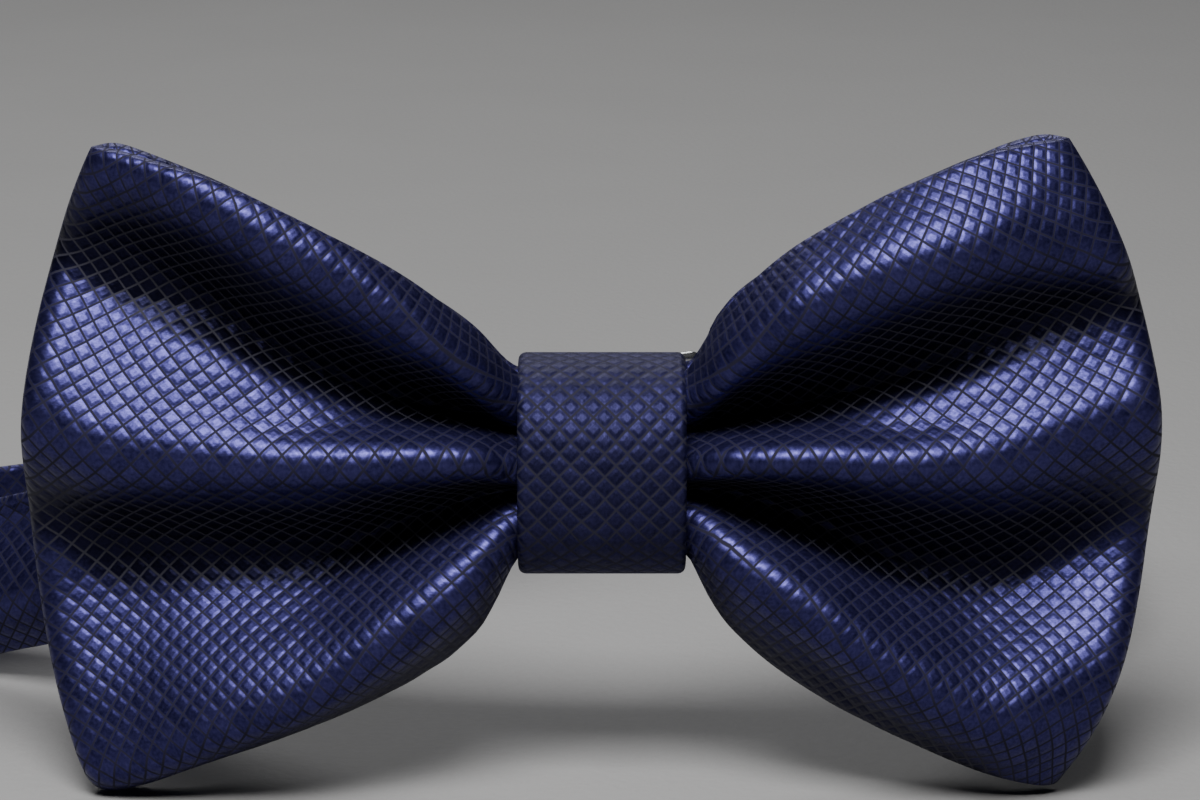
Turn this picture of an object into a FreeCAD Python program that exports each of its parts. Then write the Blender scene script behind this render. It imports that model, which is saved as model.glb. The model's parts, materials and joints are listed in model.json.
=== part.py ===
"""Pre-tied bow tie, standing on its lower corners with the neckband closed behind it.

Millimetres. X runs to the right as seen from the front, Y from the bow to the wearer, Z up. The origin is the
centre of the knot's flat back face, which lies on the collar. One STEP file is written for each piece.
"""

import FreeCAD
import Part
import math
import os

Vector = FreeCAD.Vector
UP = Vector(0, 0, 1)

# ---- driving dimensions -------------------------------------------------------------------------------------

# The bow: a flattened cloth tube bent into a loop, pinched at the waist.
CORNER_RISE = 35.5  # height of the corners above and below the middle
LEFT = {"side": -1, "reach": 61.3, "corner": 53.3, "top_mid": (31.8, 26.3), "low_mid": (31.8, -28.0)}
RIGHT = {"side": 1, "reach": 58.6, "corner": 48.6, "top_mid": (29.3, 28.6), "low_mid": (31.0, -29.0)}
LEAF = 1.8  # thickness of the flattened tube: two cloth layers round the interlining
CLOTH = 0.6  # one cloth layer
SEAM_INSET = 1.5  # the interlining stops this far inside the folded edges
FRONT_BULGE = 4.2  # how far the front leaf stands out from the waist
BACK_BULGE = 1.6
FOLD_HALF = 3.9  # half the depth of the soft fold at a wing's end
BAND_LAPS = (-36.5, -26.0, -13.0, 0.0, 13.0, 26.0, 36.5)  # heights of the wing's sections

# The knot: a flat band wrapped round the waist.
KNOT_WIDTH = 17.7
KNOT_HEIGHT = 23.2
KNOT_DEPTH = 14.6
KNOT_CLOTH = 1.8
KNOT_FRONT_ROUND = 4.0
KNOT_BACK_ROUND = 2.5

# The pinched waist inside the knot.
WAIST_HALF_WIDTH = 8.2
WAIST_HALF_HEIGHT = 9.2
WAIST_FRONT = -12.3
WAIST_BACK = -3.9
WAIST_ROUND = 2.0
THREAD = 0.4  # thread diameter
THREAD_TURNS = 6

# The neckband and its hardware.
BAND_WIDTH = 18.2
BAND = 1.4  # thickness
BAND_LINING = 0.4
LINING_INSET = 1.3
BAR = 0.8  # radius of the round bars that the band turns over
BAR_PLAY = 0.1
HARDWARE_HALF = 11.0  # half the height of the hook, eye and slide
RAIL = 1.1

# The closed neckband seen from above: a loop that runs back from the knot, with its narrow end to the left.
SPREAD = math.radians(27.5)  # both sides of the narrow end run at this angle to X
BAND_MIDDLE_Y = -2.7  # where the band passes through the knot
EXIT_X = 12.0  # where it starts to bend back
EXIT_ROUND = 15.0
REAR_Y = 89.9  # where the rear run crosses X = 0
NARROW_ROUND = 10.5
RIGHT_FRONT = (54.6, 19.5)
RIGHT_FRONT_ROUND = 16.0
RIGHT_BACK = (63.7, 123.1)
RIGHT_BACK_ROUND = 24.0
FLEX_GAP = 1.35  # half the length of the stretch that bends when the band is opened

# Places along the rear run, measured from where it leaves the narrow end.
SLIDE_AT = 32.0
HOOK_BAR_AT = 78.0
EYE_BAR_AT = 86.8
EYE_BAND_BAR_AT = 100.5

# ---- values that follow ---------------------------------------------------------------------------------------

GROUND = -CORNER_RISE
REAR_Z = GROUND + HARDWARE_HALF  # middle of the band along the rear run
BAND_HALF = BAND_WIDTH / 2
ALONG = Vector(math.cos(SPREAD), math.sin(SPREAD), 0)
OUTWARD = Vector(-math.sin(SPREAD), math.cos(SPREAD), 0)
SLOPE = math.tan(SPREAD)
NARROW_X = -(REAR_Y - BAND_MIDDLE_Y + EXIT_X * SLOPE) / (2 * SLOPE)
NARROW_Y = REAR_Y + SLOPE * NARROW_X
NARROW = (NARROW_X, NARROW_Y)
NARROW_CENTRE_X = NARROW_X + NARROW_ROUND / math.sin(SPREAD)
APEX = Vector(NARROW_CENTRE_X - NARROW_ROUND, NARROW_Y, 0)  # the band bends here when it is opened
REAR_START = Vector(NARROW_X, NARROW_Y, 0) + ALONG * (NARROW_ROUND / math.tan(SPREAD))
WRAP = BAR + BAR_PLAY + BAND / 2  # radius of the band's middle where it turns over a bar
HOOK_BAR_OUT = WRAP  # the hook's bar lies this far outside the rear run
SLIDE_BAR_OUT = BAND / 2 + 0.2 + BAND + BAR_PLAY + BAR


# ---- helpers --------------------------------------------------------------------------------------------------


def flat(point):
    """A plan point as a vector, from a pair or a vector."""
    return Vector(point[0], point[1], 0)


def rear(along, outward):
    """A plan point given along the rear run and outward from it."""
    point = REAR_START + ALONG * along + OUTWARD * outward
    return (point.x, point.y)


def legs_of(corners):
    """Runs and rounded corners of a plan route, as (start, middle, end, centre), with no centre on a run."""
    points = [flat(c) for c in corners]
    legs = []
    here = points[0]
    for before, corner, after, spec in zip(points, points[1:], points[2:], corners[1:]):
        back = (before - corner).normalize()
        on = (after - corner).normalize()
        half = back.getAngle(on) / 2
        reach = spec[2] / math.tan(half)
        centre = corner + (back + on).normalize() * (spec[2] / math.sin(half))
        start = corner + back * reach
        end = corner + on * reach
        if (start - here).Length > 1e-6:
            legs.append((here, None, start, None))
        middle = centre + (corner - centre).normalize() * spec[2]
        legs.append((start, middle, end, centre))
        here = end
    legs.append((here, None, points[-1], None))
    return legs


def moved_leg(leg, side):
    """The edge of a leg moved sideways, positive to the left of the way it runs."""
    start, middle, end, centre = leg
    if centre is None:
        left = UP.cross((end - start).normalize())
        return Part.LineSegment(start + left * side, end + left * side).toShape()
    turns_left = (start - centre).cross(end - centre).z > 0
    radius = (start - centre).Length
    scale = (radius - side if turns_left else radius + side) / radius
    points = [centre + (p - centre) * scale for p in (start, middle, end)]
    return Part.Arc(*points).toShape()


def ends_of(edge):
    return edge.valueAt(edge.FirstParameter), edge.valueAt(edge.LastParameter)


def ribbon(corners, thickness, bottom, top):
    """An upright ribbon that follows a plan route."""
    legs = legs_of(corners)
    left = [moved_leg(leg, thickness / 2) for leg in legs]
    right = [moved_leg(leg, -thickness / 2) for leg in legs]
    start = Part.LineSegment(ends_of(right[0])[0], ends_of(left[0])[0]).toShape()
    end = Part.LineSegment(ends_of(left[-1])[1], ends_of(right[-1])[1]).toShape()
    outline = Part.Wire(Part.__sortEdges__(left + [end] + right + [start]))
    face = Part.Face(outline)
    face.translate(Vector(0, 0, bottom))
    return face.extrude(Vector(0, 0, top - bottom))


def window(centres, half, across):
    """A slab whose height follows (place, height) pairs, in the XZ plane or, with across "x", the YZ plane."""
    lower = [(place, height - half) for place, height in centres]
    upper = [(place, height + half) for place, height in reversed(centres)]
    far = 300.0
    if across == "x":
        points = [Vector(-far, place, height) for place, height in lower + upper]
        push = Vector(2 * far, 0, 0)
    else:
        points = [Vector(place, -far, height) for place, height in lower + upper]
        push = Vector(0, 2 * far, 0)
    return Part.Face(Part.makePolygon(points + [points[0]])).extrude(push)


def box(low, high):
    """A box from its lowest to its highest corner."""
    size = [b - a for a, b in zip(low, high)]
    return Part.makeBox(*size, Vector(*low))


def rod(radius, start, end):
    """A round bar between two points."""
    start, end = Vector(*start), Vector(*end)
    return Part.makeCylinder(radius, (end - start).Length, start, end - start)


def placed_on_rear_run(shape):
    """Turns a shape made along X, with Y outward, onto the rear run."""
    shape = shape.copy()
    shape.rotate(Vector(0, 0, 0), UP, math.degrees(SPREAD))
    shape.translate(REAR_START + Vector(0, 0, REAR_Z))
    return shape


def rounded_frame(low, high, corner):
    """A closed wire in the YZ plane, with one radius for the low Y corners and one for the high."""
    (y0, z0), (y1, z1) = low, high
    r0, r1 = corner
    k = 1 - math.sqrt(0.5)
    line = Part.LineSegment
    edges = [
        line(Vector(0, y0 + r0, z1), Vector(0, y1 - r1, z1)),
        Part.Arc(Vector(0, y1 - r1, z1), Vector(0, y1 - k * r1, z1 - k * r1), Vector(0, y1, z1 - r1)),
        line(Vector(0, y1, z1 - r1), Vector(0, y1, z0 + r1)),
        Part.Arc(Vector(0, y1, z0 + r1), Vector(0, y1 - k * r1, z0 + k * r1), Vector(0, y1 - r1, z0)),
        line(Vector(0, y1 - r1, z0), Vector(0, y0 + r0, z0)),
        Part.Arc(Vector(0, y0 + r0, z0), Vector(0, y0 + k * r0, z0 + k * r0), Vector(0, y0, z0 + r0)),
        line(Vector(0, y0, z0 + r0), Vector(0, y0, z1 - r0)),
        Part.Arc(Vector(0, y0, z1 - r0), Vector(0, y0 + k * r0, z1 - k * r0), Vector(0, y0 + r0, z1)),
    ]
    return Part.Wire([e.toShape() for e in edges])


def prism_along_x(wire, half):
    """A YZ outline filled and pushed from -half to +half along X."""
    face = Part.Face(wire)
    face.translate(Vector(-half, 0, 0))
    return face.extrude(Vector(2 * half, 0, 0))


# ---- the bow ----------------------------------------------------------------------------------------------------


def reach_at(wing, z):
    """How far a wing reaches at a height: its end is an arc through the corners and the middle."""
    bulge = wing["reach"] - wing["corner"]
    radius = (CORNER_RISE**2 + bulge**2) / (2 * bulge)
    return wing["reach"] - radius + math.sqrt(radius**2 - z**2)


def wing_section(wing, z, inset):
    """The plan outline of a wing at a height, closed inside the waist."""
    side = wing["side"]
    root = 8.0
    front, back = WAIST_FRONT + 0.4 + inset, WAIST_BACK - inset
    fold = FOLD_HALF - inset
    fold_y = (WAIST_FRONT + WAIST_BACK) / 2
    tip = reach_at(wing, z) - inset
    turn = tip - fold
    middle = (root + turn) / 2

    def at(x, y):
        return Vector(side * x, y, z)

    edges = [
        Part.Arc(at(root, front), at(middle, front - FRONT_BULGE), at(turn, fold_y - fold)),
        Part.Arc(at(turn, fold_y - fold), at(tip, fold_y), at(turn, fold_y + fold)),
        Part.Arc(at(turn, fold_y + fold), at(middle, back + BACK_BULGE), at(root, back)),
        Part.LineSegment(at(root, back), at(root, front)),
    ]
    return Part.Wire([e.toShape() for e in edges])


def wing_body(wing, inset):
    """A wing filled solid, before its top and bottom are cut to the bow's outline."""
    return Part.makeLoft([wing_section(wing, z, inset) for z in BAND_LAPS], True, False)


def wing_outline(wing, inset):
    """The bow's outline on one side, from the front, pushed through in Y."""
    side = wing["side"]
    top_x, top_z = wing["top_mid"]
    low_x, low_z = wing["low_mid"]
    waist = WAIST_HALF_HEIGHT - 0.4
    corner, rise = wing["corner"] + 2.0, CORNER_RISE - inset
    past = wing["reach"] + 5

    def at(x, z):
        return Vector(side * x, -40, z)

    edges = [
        Part.Arc(at(KNOT_WIDTH / 2, waist - inset), at(top_x, top_z - inset), at(corner, rise)),
        Part.LineSegment(at(corner, rise), at(past, rise)),
        Part.LineSegment(at(past, rise), at(past, -rise)),
        Part.LineSegment(at(past, -rise), at(corner, -rise)),
        Part.Arc(at(corner, -rise), at(low_x, low_z + inset), at(KNOT_WIDTH / 2, inset - waist)),
        Part.LineSegment(at(KNOT_WIDTH / 2, inset - waist), at(5, inset - waist)),
        Part.LineSegment(at(5, inset - waist), at(5, waist - inset)),
        Part.LineSegment(at(5, waist - inset), at(KNOT_WIDTH / 2, waist - inset)),
    ]
    return Part.Face(Part.Wire([e.toShape() for e in edges])).extrude(Vector(0, 80, 0))


def wing_layer(wing, outer, inner, edge):
    """The wall of a wing between two insets, open at the top and bottom as the bent tube is."""
    wall = wing_body(wing, outer).cut(wing_body(wing, inner))
    return wall.common(wing_outline(wing, edge))


def waist_block(inset):
    """The pleats pressed together inside the knot."""
    low = (WAIST_FRONT + inset, -WAIST_HALF_HEIGHT + inset)
    high = (WAIST_BACK - inset, WAIST_HALF_HEIGHT - inset)
    round_ = WAIST_ROUND - min(inset, 1.0)
    return prism_along_x(rounded_frame(low, high, (round_, round_)), WAIST_HALF_WIDTH)


def make_bow():
    """The cloth tube and the stiffener inside it."""
    lining = None
    for wing in (LEFT, RIGHT):
        layer = wing_layer(wing, CLOTH, LEAF - CLOTH, SEAM_INSET)
        lining = layer if lining is None else lining.fuse(layer)
    bridge = waist_block(CLOTH).cut(waist_block(LEAF - CLOTH))
    lining = lining.fuse(bridge).removeSplitter()
    cloth = waist_block(0.0)
    for wing in (LEFT, RIGHT):
        cloth = cloth.fuse(wing_layer(wing, 0.0, LEAF, 0.0))
    cloth = cloth.removeSplitter().cut(lining)
    return {"bow_cloth": cloth, "bow_interlining": lining}


def make_waist_thread():
    """The thread wound round the waist that holds the pleats."""
    out = THREAD / 2 + 0.05
    low = (WAIST_FRONT - out, -WAIST_HALF_HEIGHT - out)
    high = (WAIST_BACK + out, WAIST_HALF_HEIGHT + out)
    path = rounded_frame(low, high, (WAIST_ROUND + out, WAIST_ROUND + out))
    start = path.Edges[0].valueAt(path.Edges[0].FirstParameter)
    ring = Part.Wire(Part.Circle(start, Vector(0, 1, 0), THREAD / 2).toShape())
    turn = path.makePipeShell([ring], True, True)
    turns = []
    for i in range(THREAD_TURNS):
        copy = turn.copy()
        copy.translate(Vector((i - (THREAD_TURNS - 1) / 2) * THREAD * 1.3, 0, 0))
        turns.append(copy)
    return {"waist_thread": Part.makeCompound(turns)}


# ---- the knot ---------------------------------------------------------------------------------------------------


def knot_ring(outer, inner, half_width):
    """The knot's band between two depths below its outer face."""
    rings = []
    for inset in (outer, inner):
        low = (-KNOT_DEPTH + inset, -KNOT_HEIGHT / 2 + inset)
        high = (-inset, KNOT_HEIGHT / 2 - inset)
        rounds = (KNOT_FRONT_ROUND - inset, max(KNOT_BACK_ROUND - inset, 0.5))
        rings.append(prism_along_x(rounded_frame(low, high, rounds), half_width))
    return rings[0].cut(rings[1])


def make_knot():
    """The band round the waist, its stiffener, and the stitches that close it underneath."""
    half = KNOT_WIDTH / 2
    lining = knot_ring(CLOTH, KNOT_CLOTH - CLOTH, half - 1.2)
    cloth = knot_ring(0.0, KNOT_CLOTH, half).cut(lining)
    stitches = []
    count, pitch = 6, 2.6
    for i in range(count):
        x = (i - (count - 1) / 2) * pitch
        low = (x - THREAD / 2, -5.6, -KNOT_HEIGHT / 2 - THREAD)
        high = (x + THREAD / 2, -3.6, -KNOT_HEIGHT / 2)
        stitches.append(box(low, high))
    return {
        "knot_cloth": cloth,
        "knot_interlining": lining,
        "knot_closing_stitches": Part.makeCompound(stitches),
    }


# ---- the neckband ------------------------------------------------------------------------------------------------

# Heights of the band's middle: on the left against X, on the right against Y.
LEFT_FALL = [(APEX.x - 6, REAR_Z), (-72.5, REAR_Z), (-KNOT_WIDTH / 2, 0), (5, 0)]
RIGHT_FALL = [(-8, 0), (BAND_MIDDLE_Y + BAND / 2, 0), (15, -13.0), (66, REAR_Z), (130, REAR_Z)]

LEFT_ROUTE = [(0, BAND_MIDDLE_Y), (-EXIT_X, BAND_MIDDLE_Y, EXIT_ROUND), (*NARROW, NARROW_ROUND), rear(4, 0)]
RIGHT_ROUTE = [
    (0, BAND_MIDDLE_Y),
    (EXIT_X, BAND_MIDDLE_Y, EXIT_ROUND),
    (*RIGHT_FRONT, RIGHT_FRONT_ROUND),
    (*RIGHT_BACK, RIGHT_BACK_ROUND),
    rear(EYE_BAND_BAR_AT + 4.0, -WRAP),
]
EYE_FOLD = [
    rear(EYE_BAND_BAR_AT + 4.0, -WRAP),
    (*rear(EYE_BAND_BAR_AT - WRAP, -WRAP), WRAP * 0.999),
    (*rear(EYE_BAND_BAR_AT - WRAP, WRAP), WRAP * 0.999),
    (*rear(EYE_BAND_BAR_AT + 1.5, WRAP), 3.0),
    (*rear(EYE_BAND_BAR_AT + 5.6, BAND - WRAP), 3.0),
    rear(EYE_BAND_BAR_AT + 13.0, BAND - WRAP),
]
TAIL_ROUTE = [
    (NARROW_X + 25, NARROW_Y - 25 * SLOPE),
    (*NARROW, NARROW_ROUND),
    (*rear(HOOK_BAR_AT + WRAP, 0), WRAP * 0.999),
    (*rear(HOOK_BAR_AT + WRAP, 2 * WRAP), WRAP * 0.999),
    rear(HOOK_BAR_AT - 1.6, 2 * WRAP),
]
SLIDE_FOLD_OUT = SLIDE_BAR_OUT + WRAP
SLIDE_FOLD = [
    rear(SLIDE_AT + 1.0, SLIDE_FOLD_OUT),
    (*rear(SLIDE_AT - WRAP, SLIDE_FOLD_OUT), WRAP * 0.999),
    (*rear(SLIDE_AT - WRAP, SLIDE_BAR_OUT - WRAP), WRAP * 0.999),
    (*rear(SLIDE_AT + 1.8, SLIDE_BAR_OUT - WRAP), 2.5),
    (*rear(SLIDE_AT + 5.0, SLIDE_FOLD_OUT - BAND), 2.5),
    rear(SLIDE_AT + 9.6, SLIDE_FOLD_OUT - BAND),
]


def before_apex(gap):
    """All of space on the knot's side of the place where the band bends."""
    return box((-400, -400, -200), (400, NARROW_Y - gap, 200))


def after_apex(gap):
    return box((-400, NARROW_Y + gap, -200), (400, 400, 200))


def band_left(thickness, half, gap):
    band = ribbon(LEFT_ROUTE, thickness, -100, 100)
    return band.common(window(LEFT_FALL, half, "y")).common(before_apex(gap))


def band_right(route, thickness, half):
    return ribbon(route, thickness, -100, 100).common(window(RIGHT_FALL, half, "x"))


def make_neckband():
    """The part of the band that passes through the knot, from the eye's fold to the bend."""
    inner = BAND_HALF - LINING_INSET
    lining = band_left(BAND_LINING, inner, FLEX_GAP + LINING_INSET)
    lining = lining.fuse(band_right(RIGHT_ROUTE, BAND_LINING, inner)).removeSplitter()
    fold = ribbon(EYE_FOLD, BAND, REAR_Z - BAND_HALF, REAR_Z + BAND_HALF)
    cloth = band_left(BAND, BAND_HALF, FLEX_GAP)
    cloth = cloth.fuse(band_right(RIGHT_ROUTE, BAND, BAND_HALF)).fuse(fold).removeSplitter()
    return {"neckband_cloth": cloth.cut(lining), "neckband_interlining": lining}


def make_tail():
    """The rear run of the band: from the bend, over the hook's bar."""
    low, high = REAR_Z - BAND_HALF, REAR_Z + BAND_HALF
    lining_route = TAIL_ROUTE[:2] + [rear(HOOK_BAR_AT - 3, 0)]
    lining = ribbon(lining_route, BAND_LINING, low + LINING_INSET, high - LINING_INSET)
    lining = lining.common(after_apex(FLEX_GAP + LINING_INSET))
    cloth = ribbon(TAIL_ROUTE, BAND, low, high).common(after_apex(FLEX_GAP))
    flex = ribbon(LEFT_ROUTE, BAND, low, high).common(before_apex(-FLEX_GAP))
    flex = flex.common(after_apex(-FLEX_GAP)).common(box((-400, -400, -200), (NARROW_CENTRE_X, 400, 200)))
    back_ply = [rear(SLIDE_AT + 10.2, SLIDE_FOLD_OUT), rear(HOOK_BAR_AT - 1.8, 2 * WRAP)]
    return {
        "neckband_tail_cloth": cloth.cut(lining),
        "neckband_tail_interlining": lining,
        "neckband_bend": flex,
        "returned_ply": ribbon(back_ply, BAND, low, high),
    }


def bar_tack(along, outward):
    """A row of short stitches across the band, lying on its outer face."""
    count, pitch, length = 9, 1.7, 2.2
    stitches = []
    for i in range(count):
        z = (i - (count - 1) / 2) * pitch
        low = (along - length / 2, outward, z - THREAD / 2)
        high = (along + length / 2, outward + THREAD, z + THREAD / 2)
        stitches.append(box(low, high))
    return placed_on_rear_run(Part.makeCompound(stitches))


def make_fold_stitches():
    return {"eye_fold_stitches": bar_tack(EYE_BAND_BAR_AT + 10.0, BAND * 1.5 - WRAP)}


# ---- the hardware ---------------------------------------------------------------------------------------------------


def make_slide():
    """The slide that sets the neck size, with the band's end folded round its middle bar and stitched."""
    rail_low = HARDWARE_HALF - RAIL
    side_low, side_high = -BAND / 2 - 1.4, -BAND / 2 - 0.3
    pieces = []
    for z in (-HARDWARE_HALF, rail_low):
        pieces.append(box((SLIDE_AT - 7.5, side_low, z), (SLIDE_AT + 7.5, 0.9, z + RAIL)))
        post = box((SLIDE_AT - 1.3, side_low, z), (SLIDE_AT + 1.3, SLIDE_BAR_OUT + 1.1, z + RAIL))
        pieces.append(post)
    for along in (SLIDE_AT - 7.5, SLIDE_AT + 5.5):
        low = (along, side_low, -HARDWARE_HALF)
        pieces.append(box(low, (along + 2.0, side_high, HARDWARE_HALF)))
    middle = rod(BAR, (SLIDE_AT, SLIDE_BAR_OUT, -rail_low - 0.5), (SLIDE_AT, SLIDE_BAR_OUT, rail_low + 0.5))
    slide = middle.multiFuse(pieces).removeSplitter()
    low, high = REAR_Z - BAND_HALF, REAR_Z + BAND_HALF
    outer_ply = [rear(SLIDE_AT + 1.0, SLIDE_FOLD_OUT), rear(SLIDE_AT + 10.0, SLIDE_FOLD_OUT)]
    fold = ribbon(SLIDE_FOLD, BAND, low, high).fuse(ribbon(outer_ply, BAND, low, high))
    return {
        "adjuster_slide": placed_on_rear_run(slide),
        "adjuster_fold": fold.removeSplitter(),
        "adjuster_stitches": bar_tack(SLIDE_AT + 7.5, SLIDE_FOLD_OUT + BAND / 2),
    }


def make_hook():
    """A flat hook: a slot for the band, and a tongue bent back on itself."""
    arm_low = HARDWARE_HALF - RAIL
    start, cross = HOOK_BAR_AT, HOOK_BAR_AT + 5.5
    low_n, high_n = HOOK_BAR_OUT - 0.7, HOOK_BAR_OUT + 0.7
    pieces = [box((cross, low_n, -HARDWARE_HALF), (cross + 1.4, high_n, HARDWARE_HALF))]
    for z in (-HARDWARE_HALF, arm_low):
        pieces.append(box((start - 0.9, low_n, z), (cross + 1.4, high_n, z + RAIL)))
    bar = rod(BAR, (start, HOOK_BAR_OUT, -arm_low - 0.5), (start, HOOK_BAR_OUT, arm_low + 0.5))
    frame = placed_on_rear_run(bar.multiFuse(pieces))
    tongue_half, tongue = 4.5, 1.0
    crook = HOOK_BAR_AT + 12.4
    route = [
        rear(cross + 0.5, HOOK_BAR_OUT),
        (*rear(crook, HOOK_BAR_OUT), 1.1),
        (*rear(crook, -1.8), 1.0),
        rear(crook - 1.7, -1.8),
    ]
    bent = ribbon(route, tongue, REAR_Z - tongue_half, REAR_Z + tongue_half)
    return {"hook": frame.fuse(bent).removeSplitter()}


def make_eye():
    """A wire eye: one bar in the band's fold, the other for the hook."""
    half = HARDWARE_HALF - BAR
    corner = 0.9
    low, high = (EYE_BAR_AT, -half), (EYE_BAND_BAR_AT, half)
    path = rounded_frame(low, high, (corner, corner))
    start = path.Edges[0].valueAt(path.Edges[0].FirstParameter)
    wire = Part.Wire(Part.Circle(start, Vector(0, 1, 0), BAR).toShape())
    eye = path.makePipeShell([wire], True, True)
    eye.rotate(Vector(0, 0, 0), UP, -90)
    return {"eye": placed_on_rear_run(eye)}


# ---- all of it --------------------------------------------------------------------------------------------------------


def make_all():
    pieces = {}
    makers = (make_bow, make_waist_thread, make_knot, make_neckband, make_tail, make_fold_stitches)
    for make in makers + (make_slide, make_hook, make_eye):
        pieces.update(make())
    return pieces


def main():
    os.makedirs("parts", exist_ok=True)
    for name, shape in make_all().items():
        shape.exportStep(f"parts/{name}.step")
        valid = "valid" if shape.isValid() else "NOT VALID"
        print(f"{name:28s} {len(shape.Solids)} solids  {shape.Volume:9.1f} mm3  {valid}")
    hook_bar = rear(HOOK_BAR_AT, HOOK_BAR_OUT)
    eye_bar = rear(EYE_BAND_BAR_AT, 0)
    print("bend axis", APEX.x, APEX.y)
    print("hook axis", hook_bar, "eye axis", eye_bar, "along", ALONG.x, ALONG.y)


main()
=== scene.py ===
import json
import math

import bmesh
import bpy
import numpy as np
from bpy.props import FloatProperty, FloatVectorProperty, PointerProperty
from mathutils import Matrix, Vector, noise
from mathutils.geometry import interpolate_bezier


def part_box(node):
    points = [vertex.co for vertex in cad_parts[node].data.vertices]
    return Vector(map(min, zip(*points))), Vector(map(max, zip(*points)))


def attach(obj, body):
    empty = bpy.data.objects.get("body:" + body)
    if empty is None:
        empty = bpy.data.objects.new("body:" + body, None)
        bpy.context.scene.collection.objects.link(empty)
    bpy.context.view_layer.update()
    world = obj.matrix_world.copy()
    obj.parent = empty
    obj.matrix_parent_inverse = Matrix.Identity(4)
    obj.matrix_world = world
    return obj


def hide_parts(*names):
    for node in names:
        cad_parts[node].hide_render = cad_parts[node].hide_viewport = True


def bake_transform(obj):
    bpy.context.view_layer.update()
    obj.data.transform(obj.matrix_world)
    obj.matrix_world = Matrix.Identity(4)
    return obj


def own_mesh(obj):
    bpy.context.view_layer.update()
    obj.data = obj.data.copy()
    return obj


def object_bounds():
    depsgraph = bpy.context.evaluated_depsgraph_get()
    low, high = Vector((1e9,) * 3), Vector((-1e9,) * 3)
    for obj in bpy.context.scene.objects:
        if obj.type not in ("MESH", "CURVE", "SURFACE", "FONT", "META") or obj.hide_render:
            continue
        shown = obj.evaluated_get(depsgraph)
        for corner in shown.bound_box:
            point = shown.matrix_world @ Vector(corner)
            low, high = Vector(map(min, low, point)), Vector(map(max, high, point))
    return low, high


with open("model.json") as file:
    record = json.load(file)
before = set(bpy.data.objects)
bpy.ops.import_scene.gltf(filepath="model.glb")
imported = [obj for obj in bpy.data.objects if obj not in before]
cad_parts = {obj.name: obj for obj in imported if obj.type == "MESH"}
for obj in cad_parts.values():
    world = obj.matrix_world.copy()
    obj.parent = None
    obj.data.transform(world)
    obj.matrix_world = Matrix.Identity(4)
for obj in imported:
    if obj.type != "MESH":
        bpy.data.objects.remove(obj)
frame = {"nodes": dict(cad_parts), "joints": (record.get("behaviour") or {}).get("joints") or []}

bl_info = {
    "name": "Pre-tied bow tie",
    "version": (1, 0, 0),
    "blender": (4, 5, 0),
    "location": "View3D > Sidebar > Bow tie",
    "description": "Makes a pleated jacquard bow tie and its neckband round a packed frame",
    "category": "Add Mesh",
}

MM = 0.001

# Places from the frame: the joints, the rear run's direction, and the boxes of the bow and its knot.
JOINTS = {joint["name"]: joint for joint in frame["joints"]}
ALONG = Vector(JOINTS["adjuster_slide"]["axis"])
OUTWARD = Vector((-ALONG.y, ALONG.x, 0))
BEND_AXIS = Vector(JOINTS["band_opening"]["pos_m"])
HOOK_BAR = Vector(JOINTS["hook_swivel"]["pos_m"])
EYE_BAR = Vector(JOINTS["eye_swivel"]["pos_m"])
REAR_HEIGHT = EYE_BAR.z
KNOT_LOW, KNOT_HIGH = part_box("knot_cloth")
BOW_LOW, BOW_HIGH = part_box("bow_cloth")
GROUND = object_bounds()[0][2]

# The canvas inside the cloth, and how many rows it stays clear of the cloth's edges.
LINER = 0.5 * MM
BOW_LINER_INSET = 8
NARROW_LINER_INSET = 7

# The band's depth where it passes through the knot, and how far it laps past the hook's bar.
BAND_DEPTH = -2.7 * MM
HOOK_LAP = 1.8 * MM


# ---- sizes and colours -------------------------------------------


def length(name, description, default):
    """A length in metres that the panel shows."""
    shown = {"name": name, "description": description}
    return FloatProperty(default=default, unit="LENGTH", precision=5, **shown)


def colour(name, description, default):
    """A linear colour that the panel shows."""
    shown = {"name": name, "description": description}
    return FloatVectorProperty(default=default, subtype="COLOR", min=0, max=1, **shown)


class TieSizes(bpy.types.PropertyGroup):
    """Sizes of the cloth and thread."""

    leaf: length("Leaf", "Thickness of one leaf of a wing", 1.7 * MM)
    fold: length("End fold", "Radius of the fold at a wing's end", 1.7 * MM)
    knot: length("Knot cloth", "Thickness of the knot's band", 1.6 * MM)
    band: length("Neckband", "Thickness of the neckband", 1.4 * MM)
    band_width: length("Neckband width", "Width of the neckband", 18.2 * MM)
    turn: length("Bar turn", "Radius of the band's middle where it turns over a bar", 1.6 * MM)
    narrow_end: length("Narrow end", "Radius of the neckband's narrow end", 10.5 * MM)
    diamond: length("Diamond", "Diagonal of one diamond of the weave", 2.32 * MM)
    line: length("Weave line", "Width of the line between two diamonds", 0.23 * MM)
    thread: length("Thread", "Thickness of the sewing thread", 0.4 * MM)


class TieColours(bpy.types.PropertyGroup):
    """Colours of the cloth, thread and metal."""

    satin: colour("Satin", "The satin of the diamonds", (0.054, 0.049, 0.175))
    satin_deep: colour("Satin, deep", "The satin where its threads turn away", (0.014, 0.013, 0.058))
    line: colour("Weave line", "The matt thread between the diamonds", (0.010, 0.009, 0.024))
    # Painted light: the matt thread is drawn lighter inside the folds, where it looks greyer than the satin
    # in shade; the knot's lines take part of it too.
    line_in_fold_shade: colour("Weave line, folded", "The same thread inside a fold", (0.030, 0.029, 0.042))
    # Painted shade: the near-black that the satin is darkened towards inside the folds. The knot's duller
    # satin is mixed part way towards it as well.
    shadow: colour("Fold", "The cloth inside a fold", (0.004, 0.004, 0.010))
    thread: colour("Thread", "Sewing thread", (0.02, 0.022, 0.07))
    lining: colour("Interlining", "Undyed canvas", (0.62, 0.60, 0.53))
    metal: colour("Metal", "Plated hook, eye and slide", (0.70, 0.70, 0.72))


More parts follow.
